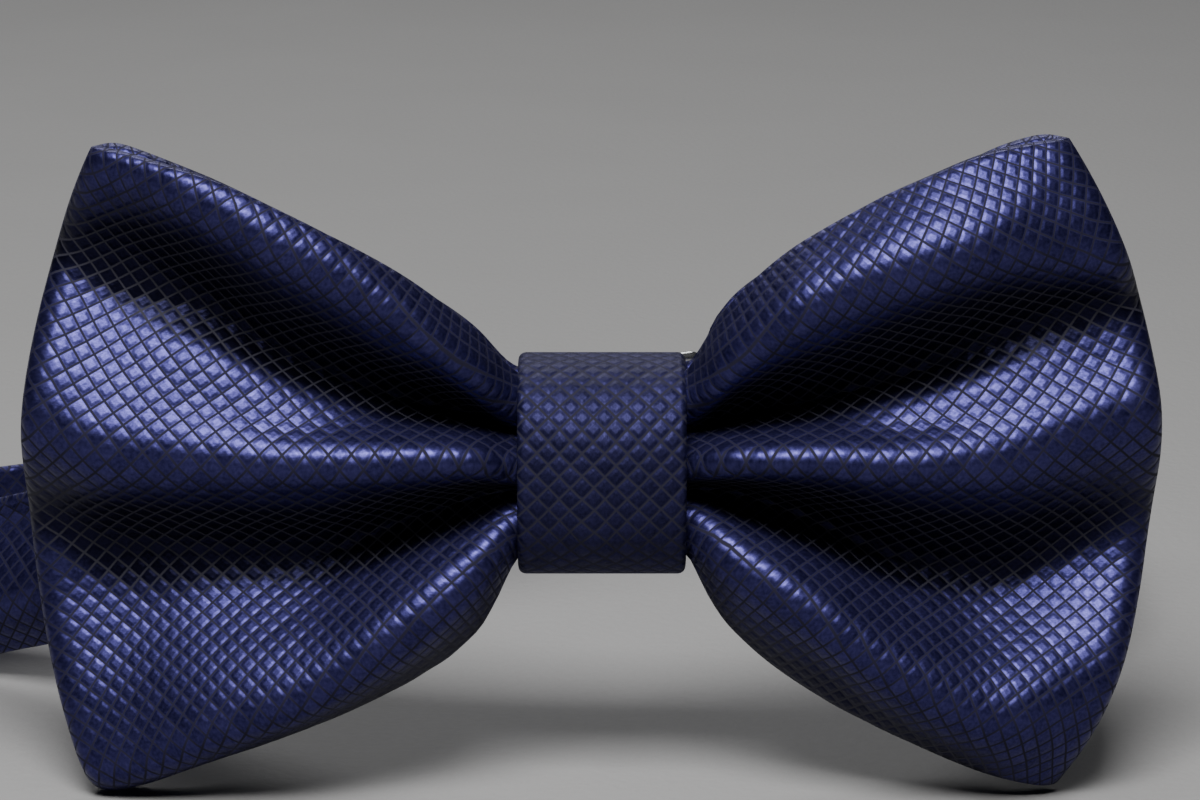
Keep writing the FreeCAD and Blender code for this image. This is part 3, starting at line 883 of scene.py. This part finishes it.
def band_middle(route, heights, tie, cup=None):
    """A neckband's middle surface along a route: heights(points) is its height, cup(points) its hollow."""
    longest, shortest = 0.8 * MM, 0.12 * MM
    points = np.array([tuple(p) for p in route])
    total = along_lengths(points)
    count = int(total[-1] / longest) + 2
    fine = np.sort(np.concatenate([np.linspace(0, total[-1], count), total[1:-1]]))
    keep = np.concatenate([[True], np.diff(fine) > shortest])
    fine = fine[keep]
    points = np.stack([np.interp(fine, total, points[:, k]) for k in range(3)], axis=-1)
    points[:, 2] = heights(points)
    level = points.copy()
    level[:, 2] = 0
    way = np.gradient(level, axis=0)
    way /= np.linalg.norm(way, axis=1, keepdims=True)
    side = np.stack([-way[:, 1], way[:, 0], np.zeros(len(way))], axis=-1)
    rows = edge_shares(tie.band_width, tie.band, 22)
    up = (rows - 0.5) * tie.band_width
    amount = np.zeros(len(points)) if cup is None else cup(points)
    bent = np.sin((rows - 0.12) * math.pi * 2.1)
    middle = points[:, None, :] + np.array([0, 0, 1.0]) * up[None, :, None]
    return middle + side[:, None, :] * (amount[:, None] * bent[None, :])[..., None]


def liner(name, middle, inset, closed, *nodes):
    """The canvas strip inside a piece of cloth, on the cloth's middle surface and clear of its edges."""
    _, colours, _ = settings()
    canvas = material_named("undyed_canvas", lambda: canvas_material(colours))
    strip = cloth_strip(name, middle[:, inset:-inset], LINER, canvas, closed=closed)
    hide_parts(*nodes)
    return strip


def rear_height(points):
    """The rear run stands level."""
    return np.full(len(points), REAR_HEIGHT)


def profile(pairs, places):
    """A smooth line through (place, value) pairs in millimetres, at places in metres."""
    return line_through([(place * MM, value * MM) for place, value in pairs], places)


def narrow_end(points):
    """Which point of the long half is the furthest left: the rear run starts there."""
    return int(np.argmin(points[:, 0]))


def left_height(points):
    """The long half sinks from the knot to the narrow end, and its rear run dips a little there."""
    fall = [(-90, -26.1), (-78, -25.6), (-66, -22.0), (-45, -13.8)]
    fall += [(-25, -5.6), (-12, -0.8), (-8, 0), (5, 0)]
    height = profile(fall, points[:, 0])
    dip = profile([(-90, 1.6), (-62, 1.6), (-40, 0), (0, 0)], points[:, 0])
    rear = narrow_end(points)
    height[rear:] = REAR_HEIGHT - dip[rear:]
    return height


def right_height(points):
    """The short half sinks from the knot to the rear run."""
    fall = [(-4, 0), (-2.6, 0), (4, -4.2), (15, -11.5), (38, -19.8), (66, -24.5), (130, -24.5)]
    return profile(fall, points[:, 1])


def left_cup(points):
    """The long half is cupped between the knot and the narrow end."""
    shape = [(-84, 0), (-76, 1.2), (-64, 2.1), (-45, 1.2), (-25, 0.3), (-10, 0), (5, 0)]
    amount = profile(shape, points[:, 0])
    amount[narrow_end(points) :] = 0
    return amount


# ---- operators ---------------------------------------------------


def settings():
    """The sizes, the colours and the stage's settings, as the panel has them."""
    scene = bpy.context.scene
    return scene.tie_sizes, scene.tie_colours, scene.stage_settings


def material_named(name, make):
    """A material made once and shared."""
    return bpy.data.materials.get(name) or make()


def shared_jacquard():
    """The weave that the bow and the neckband share."""
    tie, colours, _ = settings()
    return material_named("navy_jacquard", lambda: jacquard("navy_jacquard", tie, colours))


class TIE_OT_bow(bpy.types.Operator):
    """Makes the bow: a loop of folded cloth, pinched in three rolls at its middle"""

    bl_idname = "tie.make_bow"
    bl_label = "Make the bow"

    def execute(self, context):
        tie, _, _ = settings()
        middle = bow_middle(tie.fold, tie.leaf)
        middle = wrinkle(middle, 0.45 * MM)
        middle[-1] = middle[0]
        # The overhang of the cloth above each point is stored on the bow as the share of painted shade in
        # its folds.
        shape = {"closed": True, "pattern": laid_flat(middle), "depth": overhang(middle)}
        bow = cloth_strip("bow", middle, tie.leaf, shared_jacquard(), **shape)
        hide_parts("bow_cloth")
        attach(bow, "bow")
        canvas = liner("bow_liner", middle, BOW_LINER_INSET, True, "bow_interlining")
        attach(canvas, "bow")
        return {"FINISHED"}


# The knot hangs a little below the band's centre. Seen from its side, its front and its back are halves of
# two superellipses, which meet this far in front of its back.
KNOT_DROP = 0.9 * MM
KNOT_BACK_DEPTH = 4.3 * MM
FRONT_SQUARENESS = 2.5
BACK_SQUARENESS = 6.0


def knot_outline(inset, count=150):
    """Points round the knot seen from its side, a distance inside its surface."""
    low, high = KNOT_LOW, KNOT_HIGH
    angles = np.radians(np.linspace(-90, 270, 361))
    front = np.cos(angles) > 0
    power = np.where(front, 2.0 / FRONT_SQUARENESS, 2.0 / BACK_SQUARENESS)
    upwards = np.sign(np.sin(angles)) * np.abs(np.sin(angles)) ** power
    z = upwards * (high.z - inset) - KNOT_DROP
    depth = np.abs(np.cos(angles)) ** power
    centre = high.y - KNOT_BACK_DEPTH
    front_y = centre - (centre - low.y - inset) * depth
    back_y = centre + (high.y - inset - centre) * depth
    y = np.where(front, front_y, back_y)
    return spaced(np.stack([np.zeros_like(y), y, z], axis=-1), np.linspace(0, 1, count))


def thread_ring(bm, ring, radius, sides=8):
    """Adds a closed ring of thread, which lies in the YZ plane, to a bmesh."""
    inwards = ring.mean(0) - ring
    inwards /= np.linalg.norm(inwards, axis=1, keepdims=True)
    angles = np.linspace(0, 2 * math.pi, sides + 1)
    round_ring = np.cos(angles)[None, :, None] * inwards[:, None] * radius
    round_ring = round_ring + np.sin(angles)[None, :, None] * np.array([radius, 0, 0])
    part = grid_mesh(ring[:, None] + round_ring)
    mesh = bpy.data.meshes.new("ring")
    part.to_mesh(mesh)
    part.free()
    bm.from_mesh(mesh)
    bpy.data.meshes.remove(mesh)


class TIE_OT_knot(bpy.types.Operator):
    """Makes the knot, a band of cloth wrapped round the waist, and the thread that it hides"""

    bl_idname = "tie.make_knot"
    bl_label = "Make the knot"

    def execute(self, context):
        tie, colours, _ = settings()
        ring = knot_outline(tie.knot / 2)
        width = KNOT_HIGH.x - KNOT_LOW.x
        rows = edge_shares(width, tie.knot, 30)
        middle = np.repeat(ring[:, None, :], len(rows), axis=1)
        middle[..., 0] = ((rows - 0.5) * width)[None, :]
        middle = knot_shaped(middle)
        material = jacquard("navy_jacquard_knot", tie, colours, dull=1.0)
        knot = cloth_strip("knot", middle, tie.knot, material, closed=True)
        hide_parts("knot_cloth")
        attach(knot, "bow")
        canvas = liner("knot_liner", middle, NARROW_LINER_INSET, True, "knot_interlining")
        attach(canvas, "bow")
        self.waist_thread(tie, colours)
        return {"FINISHED"}

    def waist_thread(self, tie, colours):
        """Turns of thread round the pinched waist, close under the knot."""
        turns_count, pitch, clear = 6, tie.thread * 1.15, tie.thread * 0.6
        bm = bmesh.new()
        for k in range(turns_count):
            ring = knot_outline(tie.knot + clear, 80)
            ring[:, 0] = (k - (turns_count - 1) / 2) * pitch
            thread_ring(bm, ring, tie.thread / 2)
        bmesh.ops.remove_doubles(bm, verts=bm.verts, dist=SAME_PLACE)
        bmesh.ops.recalc_face_normals(bm, faces=bm.faces)
        thread = material_named("navy_thread", lambda: thread_material(colours))
        turns = finish_piece(bm, "waist_thread_turns", thread)
        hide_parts("waist_thread")
        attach(turns, "bow")


def ramp(values, start, end):
    """0 at start and 1 at end, level beyond them."""
    return np.clip((values - start) / (end - start), 0, 1)


def knot_shaped(middle):
    """The pull of the wrap: a fuller front, a slanting crease, and uneven upper and lower edges."""
    x, y, z = (middle[..., k] / MM for k in range(3))
    front = ramp(-y, 9.0, 13.0)
    across = np.clip(1 - (x / 8.85) ** 2, 0, 1)
    tall = np.clip(1 - (z / 11.6) ** 2, 0, 1)
    from_crease = (x + 1.6) + (z + 4.0) * 0.22
    crease = np.exp(-(from_crease**2) / 3.2) * ramp(-z, -2.0, 6.0) * ramp(z, -12.0, -8.0)
    middle[..., 1] -= front * (0.75 * across * tall + 0.55 * crease) * MM
    under = ramp(-z, 9.0, 11.0) * front
    wave = 0.35 * np.sin(x * 0.62 + 0.6) - 0.45 * ramp(-x, 5.0, 9.0)
    middle[..., 2] += under * wave * MM
    over = ramp(z, 9.0, 11.0) * front
    middle[..., 2] += over * 0.35 * np.cos(x * 0.3) * MM
    return middle


class TIE_OT_neckband(bpy.types.Operator):
    """Makes the two halves of the neckband and the ply that returns from the hook"""

    bl_idname = "tie.make_neckband"
    bl_label = "Make the neckband"

    def execute(self, context):
        tie, colours, _ = settings()
        middle = band_middle(left_route(tie), left_height, tie, left_cup)
        long_half = cloth_strip("neckband_long", middle, tie.band, shared_jacquard())
        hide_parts("neckband_bend", "neckband_tail_cloth")
        inset = NARROW_LINER_INSET
        long_liner = liner("neckband_long_liner", middle, inset, False, "neckband_tail_interlining")
        for piece in (long_half, long_liner):
            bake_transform(piece)
        middle = band_middle(right_route(tie), right_height, tie)
        short_half = cloth_strip("neckband_short", middle, tie.band, shared_jacquard())
        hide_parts("neckband_cloth")
        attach(short_half, "bow")
        short_liner = liner("neckband_short_liner", middle, inset, False, "neckband_interlining")
        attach(short_liner, "bow")
        self.returned_ply(tie, colours)
        return {"FINISHED"}

    def returned_ply(self, tie, colours):
        """The ply from the hook back to the slide. The real ply shortens as the slide moves; this one is
        made at one length, and the share it would keep is worked out but not used.
        """
        at_slide = 4.8 * MM
        material = jacquard_on_rear_run("navy_jacquard_ply", tie, colours)
        _, fold_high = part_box("adjuster_fold")
        hook_end = flat(HOOK_BAR) + OUTWARD * tie.turn - ALONG * HOOK_LAP
        reach = (flat(fold_high) - hook_end).dot(ALONG)
        slide_end = hook_end + ALONG * reach
        slide_end += OUTWARD * (at_slide - (slide_end - flat(EYE_BAR)).dot(OUTWARD))
        middle = band_middle([slide_end, hook_end], rear_height, tie)
        ply = cloth_strip("returned_ply_cloth", middle, tie.band, material)
        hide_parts("returned_ply")
        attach(ply, "tail")
        span = (hook_end - slide_end).dot(ALONG)
        travel = JOINTS["adjuster_slide"]["range_m"][1]
        keep = (span - travel) / span
        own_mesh(ply)


class TIE_OT_adjuster(bpy.types.Operator):
    """Makes the band's end, folded round the slide's middle bar"""

    bl_idname = "tie.make_adjuster_fold"
    bl_label = "Make the slide's fold"

    def execute(self, context):
        tie, _, _ = settings()
        origin = flat(EYE_BAR)
        _, fold_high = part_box("adjuster_fold")
        outer_ply, bar_out = 10.0 * MM, 3.2 * MM
        bar_at = (flat(fold_high) - origin).dot(ALONG) - outer_ply
        bar = origin + ALONG * bar_at + OUTWARD * bar_out
        end = [
            knot_of(bar + ALONG * outer_ply + OUTWARD * tie.turn, -ALONG, 0, 4 * MM),
            knot_of(bar + OUTWARD * tie.turn, -ALONG, 4 * MM, 0),
        ]
        turn = half_turn(bar, bar + OUTWARD * tie.turn, 180)[1:-1]
        inside = bar + OUTWARD * (tie.turn - tie.band)
        inner = [
            knot_of(bar - OUTWARD * tie.turn, ALONG, 0, 2.2 * MM),
            knot_of(inside + ALONG * 5.0 * MM, ALONG, 2.2 * MM, 2 * MM),
            knot_of(inside + ALONG * 9.6 * MM, ALONG, 2 * MM, 0),
        ]
        route = beziers(end, 10) + turn + beziers(inner, 14)
        middle = band_middle(route, rear_height, tie)
        fold = cloth_strip("adjuster_fold_cloth", middle, tie.band, shared_jacquard())
        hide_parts("adjuster_fold")
        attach(fold, "slide")
        return {"FINISHED"}


class TIE_OT_trim(bpy.types.Operator):
    """Gives the stitches and the metal parts their materials"""

    bl_idname = "tie.finish_trim"
    bl_label = "Finish the small pieces"

    def execute(self, context):
        _, colours, _ = settings()
        thread = material_named("navy_thread", lambda: thread_material(colours))
        metal = metal_material(colours)
        finishes = {
            thread: ("knot_closing_stitches", "eye_fold_stitches", "adjuster_stitches"),
            metal: ("hook", "eye", "adjuster_slide"),
        }
        for material, names in finishes.items():
            for name in names:
                mesh = frame["nodes"][name].data
                mesh.materials.clear()
                mesh.materials.append(material)
        return {"FINISHED"}


class TIE_OT_stage(bpy.types.Operator):
    """Makes the floor, the soft lights and the camera"""

    bl_idname = "tie.make_stage"
    bl_label = "Make the stage"

    def execute(self, context):
        _, _, stage = settings()
        self.floor(stage)
        self.lights()
        self.camera(stage)
        return {"FINISHED"}

    def floor(self, stage):
        bm = bmesh.new()
        bmesh.ops.create_grid(bm, x_segments=1, y_segments=1, size=3.0)
        bmesh.ops.translate(bm, verts=bm.verts, vec=(0, 0.5, GROUND))
        shop = Shop("plain_floor")
        cloud = shop.noise(shop.places(), 30, 3.0)
        fine = shop.noise(shop.places(), 900, 3.0)
        deep = tuple(c * 0.94 for c in stage.floor)
        shop.set(Base_Color=shop.mix(cloud, rgba(deep), rgba(stage.floor)))
        shop.set(Roughness=0.62 + fine * 0.15, Normal=shop.bump(fine, 0.1 * MM))
        floor = finish_piece(bm, "floor", shop.material, smooth=False)

    def lights(self):
        world = bpy.context.scene.world or bpy.data.worlds.new("studio")
        bpy.context.scene.world = world
        world.use_nodes = True
        background = world.node_tree.nodes["Background"]
        background.inputs["Color"].default_value = (0.80, 0.86, 1.0, 1)
        background.inputs["Strength"].default_value = 0.02
        aim = Vector((0, -0.005, 0))
        softboxes = (
            ("overhead_softbox", (-0.05, -0.34, 0.56), (0.34, 0.24), 7.8),
            ("rear_softbox", (-0.10, 0.55, 0.50), (0.60, 0.30), 2.4),
        )
        for name, place, size, power in softboxes:
            light = bpy.data.lights.new(name, "AREA")
            light.shape = "RECTANGLE"
            light.size, light.size_y = size
            light.energy = power
            lamp = bpy.data.objects.new(name, light)
            lamp.location = place
            lamp.rotation_euler = (aim - Vector(place)).to_track_quat("-Z", "Y").to_euler()
            bpy.context.scene.collection.objects.link(lamp)

    def camera(self, stage):
        data = bpy.data.cameras.new("camera")
        data.sensor_width = 36
        data.lens = data.sensor_width * stage.distance / stage.view_width
        data.clip_start, data.clip_end = 0.01, 20
        camera = bpy.data.objects.new("camera", data)
        aim = Vector((stage.aim_x, KNOT_LOW.y, stage.aim_z))
        away = Vector((0, -math.cos(stage.elevation), math.sin(stage.elevation)))
        camera.location = aim + away * stage.distance
        camera.rotation_euler = (-away).to_track_quat("-Z", "Y").to_euler()
        bpy.context.scene.collection.objects.link(camera)
        bpy.context.scene.camera = camera


class TIE_PT_panel(bpy.types.Panel):
    """Sizes, colours and the buttons that make the tie"""

    bl_idname = "TIE_PT_panel"
    bl_label = "Bow tie"
    bl_space_type = "VIEW_3D"
    bl_region_type = "UI"
    bl_category = "Bow tie"

    def draw(self, context):
        for group in (context.scene.tie_sizes, context.scene.tie_colours, context.scene.stage_settings):
            box = self.layout.box()
            for key in group.__annotations__:
                box.prop(group, key)
        for operator in OPERATORS:
            self.layout.operator(operator.bl_idname)


GROUPS = {"tie_sizes": TieSizes, "tie_colours": TieColours, "stage_settings": StageSettings}
OPERATORS = (TIE_OT_stage, TIE_OT_bow, TIE_OT_knot, TIE_OT_neckband, TIE_OT_adjuster, TIE_OT_trim)


def register():
    for group in (*GROUPS.values(), *OPERATORS, TIE_PT_panel):
        bpy.utils.register_class(group)
    for name, group in GROUPS.items():
        setattr(bpy.types.Scene, name, PointerProperty(type=group))


def unregister():
    for name in GROUPS:
        delattr(bpy.types.Scene, name)
    for group in (TIE_PT_panel, *reversed(OPERATORS), *reversed(list(GROUPS.values()))):
        bpy.utils.unregister_class(group)


def main():
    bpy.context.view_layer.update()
    register()
    bpy.ops.tie.make_stage()
    bpy.ops.tie.make_bow()
    bpy.ops.tie.make_knot()
    bpy.ops.tie.make_neckband()
    bpy.ops.tie.make_adjuster_fold()
    bpy.ops.tie.finish_trim()


if __name__ == "__main__":
    main()
